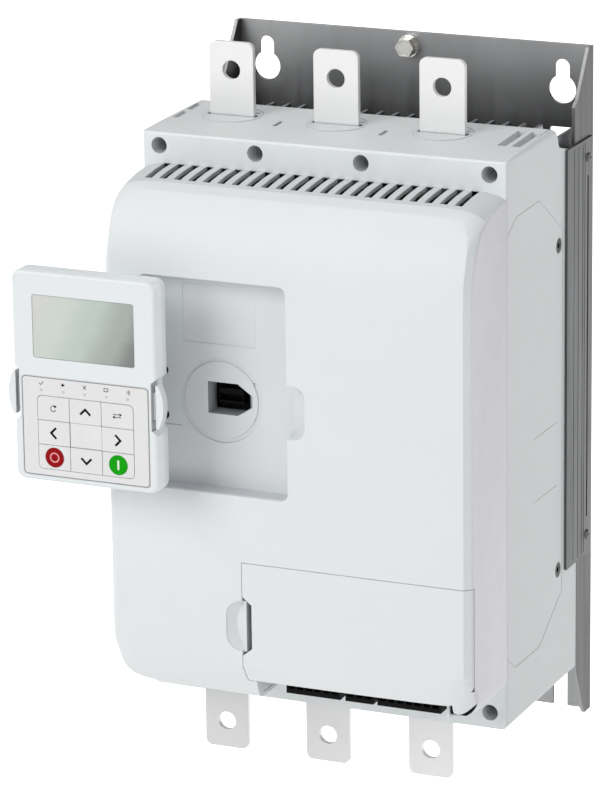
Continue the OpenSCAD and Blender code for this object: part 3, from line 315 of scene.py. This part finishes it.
def key_cap(name, centre=None, disc=None, spec=0.45):
    """Light membrane tile, with a printed round field where centre is given."""
    m = Mat(name)
    c = lin(229, 229, 229)
    flow = m.noise(30, 3, 0.5)
    fine = m.noise(3200, 2, 0.6)
    col = m.ramp(flow, [(0.3, tint(c, 0.985)), (0.7, tint(c, 1.01))])
    bev = m.bevel(1.5e-4)
    # painted highlight: edges painted a little lighter
    col = m.mix(m.math("MULTIPLY", m.edge(bev), 0.4), col, tint(c, 1.04))
    rough = m.rng(fine, 0.3, 0.7, 0.46, 0.56)
    if centre:
        d = m.t.nodes.new("ShaderNodeVectorMath")
        d.operation = "DISTANCE"
        m.put(d.inputs[0], m.mapping((1, 0, 1)))
        d.inputs[1].default_value = (centre[0], 0, centre[1])
        inside = m.rng(d.outputs["Value"], 0.00545, 0.00560, 1.0, 0.0)
        shade = m.mix(m.rng(flow, 0.3, 0.7, 0, 1), disc, tint(disc, 1.08))
        rim = m.math("MULTIPLY", m.rng(d.outputs["Value"], 0.0047, 0.0055, 0.0, 1.0), inside)
        shade = m.mix(m.math("MULTIPLY", rim, 0.35), shade, tint(disc, 0.55))
        col = m.mix(inside, col, shade)
    return m.set(color=col, rough=rough, normal=m.bump(fine, 1.2e-5, 0.6, bev), spec=spec)


def panel_reflection_tone(m, n):
    """painted reflection: the unlit panel's colour drifts from pale at the top left to grey at the lower right"""
    x = m.rng(m.axis("X"), -0.1308, -0.0717, 0.0, 1.0)
    z = m.rng(m.axis("Z"), 0.2503 + DZ, 0.2845 + DZ, 0.0, 1.0)
    d = m.math("ADD", m.math("MULTIPLY", x, 0.82), m.math("MULTIPLY", m.math("SUBTRACT", 1.0, z), 0.22))
    d = m.math("ADD", d, m.rng(n, 0.3, 0.7, -0.03, 0.03))
    return m.ramp(d, [(0.0, lin(224, 222, 218)), (0.28, lin(214, 223, 216)), (0.55, lin(200, 212, 204)), (0.80, lin(176, 184, 178)), (1.0, lin(138, 143, 139))], "EASE")


def display(name):
    """Unlit liquid-crystal panel: painted reflection tone, fine pixel rows."""
    m = Mat(name)
    n = m.noise(16, 2, 0.5)
    col = panel_reflection_tone(m, n)
    rows = m.wave(2100, m.mapping((0, 0, 1)), "Z")
    cols = m.wave(2100, m.mapping((1, 0, 0)), "X")
    grid = m.math("MULTIPLY", m.rng(rows, 0.0, 0.35, 0.9, 1.0), m.rng(cols, 0.0, 0.35, 0.93, 1.0))
    col = m.mix(m.math("SUBTRACT", 1.0, grid), col, lin(120, 124, 120))
    return m.set(color=col, rough=m.rng(n, 0.3, 0.7, 0.30, 0.36), spec=0.5)


def lens(name):
    m = Mat(name)
    smear = m.noise(26, 5, 0.65, None, 1.5)
    # the window also carries the painted reflection gradient
    return m.set(color=panel_reflection_tone(m, smear), rough=m.rng(smear, 0.35, 0.75, 0.22, 0.30), alpha=0.88, spec=0.3,
                 normal=m.bump(m.noise(120, 2), 6e-6, 0.5, m.bevel(3e-4)))


def led(name):
    m = Mat(name)
    n = m.noise(2600, 2)
    fac = m.noise(400, 2)
    col = m.ramp(fac, [(0.3, lin(196, 198, 196)), (0.7, lin(214, 216, 214))])
    return m.set(color=col, rough=m.rng(n, 0.3, 0.7, 0.2, 0.3), coat=0.4, coat_rough=0.1, normal=m.bump(n, 1e-5, 0.4, m.bevel(2e-4)))


def ink(name, c, spec=0.4):
    """Screen-printed ink, slightly uneven."""
    m = Mat(name)
    n = m.noise(1500, 3, 0.6)
    col = m.ramp(n, [(0.3, tint(c, 0.85)), (0.7, tint(c, 1.15))])
    return m.set(color=col, rough=m.rng(n, 0.3, 0.7, 0.38, 0.5), normal=m.bump(n, 6e-6, 0.5), spec=spec)


COVER = lin(229, 232, 233)
PX, PZ = -0.101, 0.2393 + DZ     # keypad centre
M = {
    "cover": plastic("cover_white", COVER, 0.50, 2400, 2.5e-5, 5e-4, 0.012, 0.4, 1.03, 0.0, (
        # painted shade on the walls of the vent slots, darker with depth
        (lambda m: m.math("MULTIPLY", m.math("MULTIPLY", m.across("X"), m.within("X", -0.096, 0.096)),
                          m.math("MULTIPLY", m.within("Z", 0.300 + DZ, 0.400 + DZ), m.rng(m.axis("Y"), -0.153, -0.138, 0.35, 1.0))), lin(186, 187, 189)),
        # painted shade: the right side is painted a little greyer than the front
        (lambda m: m.math("MULTIPLY", m.across("X"), m.within("X", 0.1042, 0.2)), lin(222, 221, 224)),
        # painted shade: the crown between and behind the slots is painted darker
        (lambda m: m.math("MULTIPLY", m.math("SUBTRACT", 1.0, m.across("X")), m.math("MULTIPLY", m.within("Y", -0.1585, -0.1200), m.rng(m.axis("Z"), 0.318 + DZ, 0.326 + DZ, 0.0, 1.0))), lin(211, 214, 215)))),
    "tray": plastic("tray_white", lin(222, 225, 226), 0.52, 2400, 2.5e-5, 4e-4, 0.015, 0.4, 1.04, 3.1, (
        # painted shade on the walls of the plug port
        (lambda m: m.math("MULTIPLY", m.within("X", -0.0520, -0.0225), m.math("MULTIPLY", m.within("Z", 0.2138 + DZ, 0.2346 + DZ), m.within("Y", -0.1696, -0.1400))), lin(176, 178, 181)),
        # painted shade on the upward faces of the bay and the compartment
        (lambda m: m.math("MULTIPLY", m.across("Z"), m.within("Z", -0.150, -0.005)), lin(205, 208, 212)))),
    "housing": plastic("housing_grey", lin(217, 219, 220), 0.52, 1900, 4e-5, 4e-4, 0.02, 0.4, 1.03, 1.7, (
        # painted light: the faces that look to the front are painted paler
        (lambda m: m.math("MULTIPLY", m.across("Y"), m.within("Y", -0.1310, -0.1285)), lin(232, 236, 237)),)),
    "bush": plastic("bush_grey", lin(214, 217, 220), 0.45, 2600, 2e-5, 3e-4, 0.02, 0.4, 1.06, 5.3, (
        # painted shadow: the inner walls of the bar slot are painted near black
        (lambda m: m.math("MULTIPLY", m.math("ADD", m.within("Y", -0.08705, -0.08225), m.within("Y", -0.10775, -0.10295)),
                          m.math("SUBTRACT", 1.0, m.across("Z"))), lin(30, 30, 31)),)),
    "shell": plastic("keypad_shell", lin(231, 235, 237), 0.40, 3600, 1.2e-5, 4e-4, 0.010, 0.45, 1.02, 7.9, (
        # the fixed middle tile of the key field, and painted shade on the floors of the two grip notches
        (lambda m: m.math("MULTIPLY", m.within("X", PX - 0.00925, PX + 0.00925), m.math("MULTIPLY", m.within("Z", PZ - 0.03685, PZ - 0.02365),
                          m.within("Y", -0.216, -0.2143))), lin(229, 229, 229)),
        (lambda m: m.math("MULTIPLY", m.within("X", 0.03872, 0.03925, 5e-5, PX), m.within("Z", PZ - 0.0232, PZ + 0.0034)), lin(128, 130, 132)),
        # painted light: the side faces of the keypad are painted paler
        (lambda m: m.math("MULTIPLY", m.across("X"), m.within("X", 0.0395, 0.0500, 5e-5, PX)), lin(250, 252, 253)))),
    "shell_rear": plastic("keypad_rear", lin(236, 240, 243), 0.48, 2600, 2e-5, 4e-4, 0.015, 0.4, 1.04, 9.1),
    "grip": plastic("grip_white", lin(231, 234, 236), 0.42, 3200, 1.5e-5, 3e-4, 0.010, 0.45, 1.03, 4.4, (
        # painted shade on the flat inner side of the finger tab
        (lambda m: m.within("X", 0.0400, 0.04124, 4e-5, PX), lin(176, 179, 182)),)),
    "overlay": plastic("membrane", lin(230, 229, 229), 0.50, 3400, 1.0e-5, 1e-4, 0.008, 0.4, 1.02, 2.2),
    "black": plastic("black_moulding", lin(34, 34, 36), 0.45, 1800, 5e-5, 2.5e-4, 0.10, 0.4, 2.2, 6.6),
    "clamp": plastic("clamp_black", lin(11, 11, 12), 0.50, 1800, 5e-5, 2.5e-4, 0.10, 0.12, 2.0, 5.1),
    "module": plastic("module_black", lin(40, 40, 43), 0.55, 1100, 7e-5, 3e-4, 0.14, 0.4, 1.9, 8.2),
    "parts": plastic("component_black", lin(38, 38, 40), 0.42, 1500, 4e-5, 2e-4, 0.12, 0.45, 2.0, 0.9),
    "plate": metal("plate_zinc", lin(175, 176, 177), 0.42, (1, 1, 0.06), 160, 3e-4, 0.08, 0.10, 1.0, 0.15, 0.0, 1.05, (
        # painted shade: the folded flanges are painted darker than the face
        (lambda m: m.across("X"), 0.22),
        # and painted shade darkens the face towards the housing
        (lambda m: m.math("MULTIPLY", m.across("Y"), m.math("MULTIPLY", m.rng(m.axis("Z"), 0.346 + DZ, 0.392 + DZ, 1.0, 0.0), m.rng(m.axis("Z"), 0.060 + DZ, 0.160 + DZ, 0.0, 1.0))), 0.52))),
    "shroud": metal("shroud_zinc", lin(101, 102, 103), 0.46, (1, 1, 0.05), 220, 3e-4, 0.06, 0.04, 0.85, 0.12, 0.0, 1.05, None, 0.94),
    "bar": bar_metal("bar_tin", lin(250, 250, 250)),
    "bolt": metal("zinc_bright", lin(226, 224, 218), 0.17, (1, 1, 1), 200, 2e-4, 0.12, 0.0, 1.0, 0.3),
    "rivet": metal("small_screw", lin(112, 112, 110), 0.34, (1, 1, 1), 200, 2e-4, 0.12, 0.0, 1.0, 0.3, 0.0, 1.2, (
        # painted shade in the recess of the head
        (lambda m: m.within("X", 0.0, 0.10545, 5e-5, 0.0), 0.16),)),
    "dark_screw": metal("black_oxide", lin(52, 52, 54), 0.38, (1, 1, 1), 200, 2e-4, 0.25, 0.0, 0.85, 0.4),
    "sink": metal("extruded_aluminium", lin(150, 152, 156), 0.42, (1, 1, 0.02), 300, 3e-4, 0.10, 0.0, 0.95, 0.15),
    "silver": metal("contact_silver", lin(222, 220, 212), 0.30, (1, 1, 1), 300, 2e-4, 0.2, 0.0, 1.0, 0.3),
    "green_board": board("board_green", lin(22, 84, 52), lin(44, 118, 76)),
    "blue_board": board("board_blue", lin(26, 62, 108), lin(52, 96, 148)),
    "winding": winding("coil_winding"),
    "copper": copper("bridge_copper"),
    "ribbon": ribbon("flat_cable"),
    "display": display("lcd_panel"),
    "lens": lens("display_window"),
    "led": led("lamp_window"),
    "key": key_cap("key_tile"),
    "key_red": key_cap("key_stop_tile", (-0.1198, 0.1955 + DZ), lin(146, 2, 12), 0.12),
    "key_green": key_cap("key_start_tile", (-0.0822, 0.1955 + DZ), lin(8, 158, 2), 0.12),
    "ink_dark": ink("ink_dark", lin(4, 4, 5), 0.15),
    "ink_line": ink("ink_line", lin(118, 118, 120)),
    "ink_pink": ink("ink_pink", lin(236, 150, 150)),
    "ink_white": ink("ink_white", lin(236, 244, 232)),
}
USE = {
    "back_plate": "plate", "earth_bolt": "bolt", "earth_washers": "bolt", "heatsink": "sink", "plate_screws": "bolt",
    "side_shroud_right": "shroud", "side_shroud_left": "shroud", "shroud_screws": "rivet", "main_housing": "housing",
    "housing_screws": "bolt", "side_screws": "dark_screw", "line_bushes": "bush", "load_bushes": "bush", "module_bolts": "bolt",
    "bypass_frame": "module", "bypass_coil": "winding", "bypass_bridge": "copper", "bypass_contacts": "silver",
    "current_transformers": "module", "fan_tray": "black", "fan_rotor_left": "black", "fan_rotor_right": "black",
    "front_cover": "cover", "bay_tray": "tray", "terminal_box": "tray", "terminal_door": "cover", "terminal_blocks": "clamp",
    "terminal_screws": "bolt", "control_board": "green_board", "control_parts": "parts", "gate_board": "blue_board",
    "ribbon_cable": "ribbon", "keypad_port": "clamp", "keypad_front_shell": "shell", "keypad_rear_shell": "shell_rear",
    "display_lens": "lens", "display_panel": "display", "keypad_overlay": "overlay", "led_windows": "led", "keypad_board": "green_board",
    "keypad_plug": "black", "grip_left": "grip", "grip_right": "grip", "key_stop": "key_red", "key_start": "key_green",
}


# ------------------------------------------------------------------ smooth shading of the curved faces
def smooth_group():
    g = bpy.data.node_groups.new("soften", "GeometryNodeTree")
    g.interface.new_socket("Geometry", in_out="INPUT", socket_type="NodeSocketGeometry")
    g.interface.new_socket("Geometry", in_out="OUTPUT", socket_type="NodeSocketGeometry")
    new = g.nodes.new
    a, z = new("NodeGroupInput"), new("NodeGroupOutput")
    weld = new("GeometryNodeMergeByDistance")
    weld.inputs["Distance"].default_value = 2e-6
    faces = new("GeometryNodeSetShadeSmooth")
    faces.domain = "FACE"
    edges = new("GeometryNodeSetShadeSmooth")
    edges.domain = "EDGE"
    edges.inputs["Shade Smooth"].default_value = False
    ang = new("GeometryNodeInputMeshEdgeAngle")
    cmp_ = new("FunctionNodeCompare")
    cmp_.data_type = "FLOAT"
    cmp_.operation = "GREATER_THAN"
    cmp_.inputs[1].default_value = math.radians(24)
    L = g.links.new
    L(a.outputs[0], weld.inputs["Geometry"])
    L(weld.outputs[0], faces.inputs["Geometry"])
    L(faces.outputs[0], edges.inputs["Geometry"])
    L(ang.outputs[0], cmp_.inputs[0])
    L(cmp_.outputs[0], edges.inputs["Selection"])
    L(edges.outputs[0], z.inputs[0])
    return g


SOFT = smooth_group()
for name, o in NODES.items():
    key = USE.get(name)
    if key is None:
        key = "bar" if "busbar" in name else "module" if name.startswith("thyristor") else "key"
    o.data.materials.clear()
    o.data.materials.append(M[key])
    mod = o.modifiers.new("soften", "NODES")
    mod.node_group = SOFT


# ------------------------------------------------------------------ printed marks on the keypad
PAD = Vector((-0.101, -0.215, 0.2393 + DZ))


def finish_piece(name, bm, mat, body):
    me = bpy.data.meshes.new(name)
    bmesh.ops.recalc_face_normals(bm, faces=bm.faces)
    bm.to_mesh(me)
    bm.free()
    o = bpy.data.objects.new(name, me)
    bpy.context.scene.collection.objects.link(o)
    me.materials.append(M[mat])
    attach(o, body)
    return o


def add_band(bm, outer, inner, y0, y1):
    """closed band between two loops of equal length, local millimetres, y0 is the front"""
    n = len(outer)
    rows = []
    for loop, y in ((outer, y0), (inner, y0), (inner, y1), (outer, y1)):
        rows.append([bm.verts.new(PAD + Vector((x, y, z)) * 0.001) for x, z in loop])
    for k in range(4):
        a, b = rows[k], rows[(k + 1) % 4]
        for i in range(n):
            j = (i + 1) % n
            bm.faces.new((a[i], a[j], b[j], b[i]))


def add_slab(bm, pts, y0, y1):
    """flat shape from an outline"""
    a = [bm.verts.new(PAD + Vector((x, y0, z)) * 0.001) for x, z in pts]
    b = [bm.verts.new(PAD + Vector((x, y1, z)) * 0.001) for x, z in pts]
    bm.faces.new(a)
    bm.faces.new(list(reversed(b)))
    for i in range(len(pts)):
        j = (i + 1) % len(pts)
        bm.faces.new((a[i], b[i], b[j], a[j]))


def stroke(pts, w):
    """outline of a line of width w through the points, mitred"""
    left, right = [], []
    for i, p in enumerate(pts):
        p = Vector(p)
        d0 = (p - Vector(pts[i - 1])).normalized() if i else None
        d1 = (Vector(pts[i + 1]) - p).normalized() if i < len(pts) - 1 else None
        d0, d1 = d0 or d1, d1 or d0
        n0, n1 = Vector((-d0.y, d0.x)), Vector((-d1.y, d1.x))
        m = (n0 + n1).normalized()
        k = w / 2 / max(0.35, m.dot(n0))
        left.append(tuple(p + m * k))
        right.append(tuple(p - m * k))
    return left + right[::-1]


def round_rect(cx, cz, w, h, r, n=8):
    out = []
    for k, (sx, sz) in enumerate(((1, 1), (-1, 1), (-1, -1), (1, -1))):
        for i in range(n + 1):
            a = math.pi / 2 * (k + i / n)
            out.append((cx + sx * (w / 2 - r) + r * math.cos(a), cz + sz * (h / 2 - r) + r * math.sin(a)))
    return out


def circle(cx, cz, r, n=48):
    return [(cx + r * math.cos(2 * math.pi * i / n), cz + r * math.sin(2 * math.pi * i / n)) for i in range(n)]


KC, KR, KZ = 18.8, 13.55, -16.7
TOP = -0.2                        # front of the key tiles


def chevron(name, cx, cz, turn, body):
    s, c = math.sin(turn), math.cos(turn)
    pts = [(-3.0, -1.5), (0, 1.5), (3.0, -1.5)]
    pts = [(cx + x * c - z * s, cz + x * s + z * c) for x, z in pts]
    bm = bmesh.new()
    add_slab(bm, stroke(pts, 1.25), TOP - 0.03, TOP + 0.005)
    finish_piece(name, bm, "ink_dark", body)


chevron("mark_up", 0, KZ, 0, "key_up_cap")
chevron("mark_down", 0, KZ - 2 * KR, math.pi, "key_down_cap")
chevron("mark_left", -KC - 0.2, KZ - KR, math.pi / 2, "key_left_cap")
chevron("mark_right", KC, KZ - KR, -math.pi / 2, "key_right_cap")

bm = bmesh.new()
add_band(bm, circle(-KC, KZ - 2 * KR, 2.85), circle(-KC, KZ - 2 * KR, 2.05), TOP - 0.13, TOP - 0.095)
finish_piece("mark_off_ring", bm, "ink_pink", "key_stop_cap")
bm = bmesh.new()
add_slab(bm, round_rect(KC, KZ - 2 * KR, 1.1, 5.4, 0.4, 4), TOP - 0.13, TOP - 0.095)
finish_piece("mark_on_bar", bm, "ink_white", "key_start_cap")

# plain pictograms on the two upper corner keys: a turning arrow and a pair of opposed arrows
bm = bmesh.new()
arc = [(-KC + 1.55 * math.cos(a), KZ + 1.55 * math.sin(a)) for a in [math.radians(50 + 290 * i / 24) for i in range(25)]]
add_slab(bm, stroke(arc, 0.42), TOP - 0.03, TOP + 0.005)
ax, az = arc[0]
add_slab(bm, [(ax + 1.1, az + 0.25), (ax - 0.75, az + 0.95), (ax - 0.35, az - 0.95)], TOP - 0.032, TOP + 0.004)
finish_piece("mark_turn_arrow", bm, "ink_dark", "key_soft_left_cap")
bm = bmesh.new()
for s in (1, -1):
    zc = KZ + 0.75 * s
    add_slab(bm, stroke([(KC - 2.4, zc), (KC + 2.4, zc)], 0.4), TOP - 0.03, TOP + 0.005)
    add_slab(bm, stroke([(KC + s * 1.3, zc + 0.75), (KC + s * 2.5, zc), (KC + s * 1.3, zc - 0.75)], 0.4), TOP - 0.032, TOP + 0.004)
finish_piece("mark_swap_arrows", bm, "ink_dark", "key_soft_right_cap")

# thin outline round the membrane, and small plain marks above the five lamps
bm = bmesh.new()
add_band(bm, round_rect(0, -27.1, 74.3, 54.6, 2.1), round_rect(0, -27.1, 73.5, 53.8, 1.8), -0.125, -0.095)
finish_piece("membrane_outline", bm, "ink_line", "keypad")
bm = bmesh.new()
LAMPS = (-25.7, -12.7, -0.1, 12.5, 25.1)
y0, y1 = -0.125, -0.095
add_slab(bm, stroke([(LAMPS[0] - 1.2, -3.1), (LAMPS[0] - 0.3, -4.0), (LAMPS[0] + 1.4, -2.2)], 0.36), y0, y1)
add_slab(bm, [(LAMPS[1] - 0.9, -2.1), (LAMPS[1] - 0.9, -4.1), (LAMPS[1] + 1.1, -3.1)], y0, y1)
add_slab(bm, stroke([(LAMPS[2] - 1.0, -2.1), (LAMPS[2] + 1.0, -4.1)], 0.36), y0, y1)
add_slab(bm, stroke([(LAMPS[2] - 1.0, -4.1), (LAMPS[2] + 1.0, -2.1)], 0.36), y0 - 0.002, y1)
add_band(bm, round_rect(LAMPS[3], -3.1, 2.6, 2.0, 0.3, 3), round_rect(LAMPS[3], -3.1, 1.9, 1.3, 0.1, 3), y0, y1)
for r in (0.75, 1.5, 2.25):
    arc = [(LAMPS[4] - 0.9 + r * math.cos(a), -3.1 + r * math.sin(a)) for a in [math.radians(-42 + 84 * i / 10) for i in range(11)]]
    add_slab(bm, stroke(arc, 0.3), y0, y1)
finish_piece("lamp_marks", bm, "ink_dark", "keypad")


# ------------------------------------------------------------------ floor, light, camera
def floor_material():
    m = Mat("floor_pale")
    n = m.noise(3, 4, 0.55)
    col = m.ramp(n, [(0.3, (0.86, 0.865, 0.87)), (0.7, (0.89, 0.89, 0.89))])
    glow = m.rng(m.axis("Y"), 0.25, 1.05, 0.22, 1.12)
    return m.set(color=col, rough=m.rng(n, 0.3, 0.7, 0.75, 0.85), normal=m.bump(m.noise(60, 3), 2e-4, 0.3), emit=(1, 1, 1, 1), emit_s=glow)


FLOOR_Z = DZ - 0.80
me = bpy.data.meshes.new("floor")
R = 40.0
me.from_pydata([(-R, -R, FLOOR_Z), (R, -R, FLOOR_Z), (R, R, FLOOR_Z), (-R, R, FLOOR_Z)], [], [(0, 1, 2, 3)])
floor = bpy.data.objects.new("floor", me)
bpy.context.scene.collection.objects.link(floor)
me.materials.append(floor_material())

world = bpy.data.worlds.new("studio")
bpy.context.scene.world = world
world.use_nodes = True
bg = world.node_tree.nodes["Background"]
bg.inputs["Color"].default_value = (0.992, 0.997, 1.0, 1)
# soft surrounding light, a little weaker towards the right
new = world.node_tree.nodes.new
where, part, fall = new("ShaderNodeTexCoord"), new("ShaderNodeSeparateXYZ"), new("ShaderNodeMapRange")
link = world.node_tree.links.new
link(where.outputs["Generated"], part.inputs[0])
link(part.outputs["X"], fall.inputs["Value"])
for k, x in zip(("From Min", "From Max", "To Min", "To Max"), (-1.0, 1.0, 0.50, 0.26)):
    fall.inputs[k].default_value = x
link(fall.outputs["Result"], bg.inputs["Strength"])


def area(name, loc, target, size, power, color=(1, 1, 1)):
    l = bpy.data.lights.new(name, "AREA")
    l.shape = "RECTANGLE"
    l.size, l.size_y = size
    l.energy = power
    l.color = color
    o = bpy.data.objects.new(name, l)
    bpy.context.scene.collection.objects.link(o)
    o.location = loc
    o.rotation_mode = "QUATERNION"
    o.rotation_quaternion = (Vector(target) - Vector(loc)).to_track_quat("-Z", "Y")
    return o


area("key", (-2.4, -4.8, 2.85), (0, -0.1, 0), (3.3, 3.3), 164, (1.0, 0.998, 0.995))
area("fill", (2.6, -1.6, 0.8), (0, -0.1, 0), (1.6, 2.0), 10.0, (1.0, 1.0, 1.0))
area("top", (0.2, 0.2, 2.6), (0, -0.05, 0), (2.0, 2.0), 19)

az, el, roll = math.radians(23.82), math.radians(16.45), math.radians(-0.764)
back = Vector((math.sin(az) * math.cos(el), -math.cos(az) * math.cos(el), math.sin(el)))
right = Vector((math.cos(az), math.sin(az), 0))
up = back.cross(right)
r2 = right * math.cos(roll) + up * math.sin(roll)
u2 = -right * math.sin(roll) + up * math.cos(roll)
cam_data = bpy.data.cameras.new("camera")
cam = bpy.data.objects.new("camera", cam_data)
bpy.context.scene.collection.objects.link(cam)
cam.matrix_world = Matrix.Translation(Vector((0.9568, -2.3321, 0.9267 + DZ))) @ Matrix((r2, u2, back)).transposed().to_4x4()
cam_data.sensor_width = 36.0
cam_data.sensor_fit = "AUTO"
cam_data.lens = 4659 / 797 * 36.0
cam_data.clip_start = 0.05
cam_data.clip_end = 200
bpy.context.scene.camera = cam
bpy.context.scene.view_settings.view_transform = "Standard"
bpy.context.scene.view_settings.look = "None"
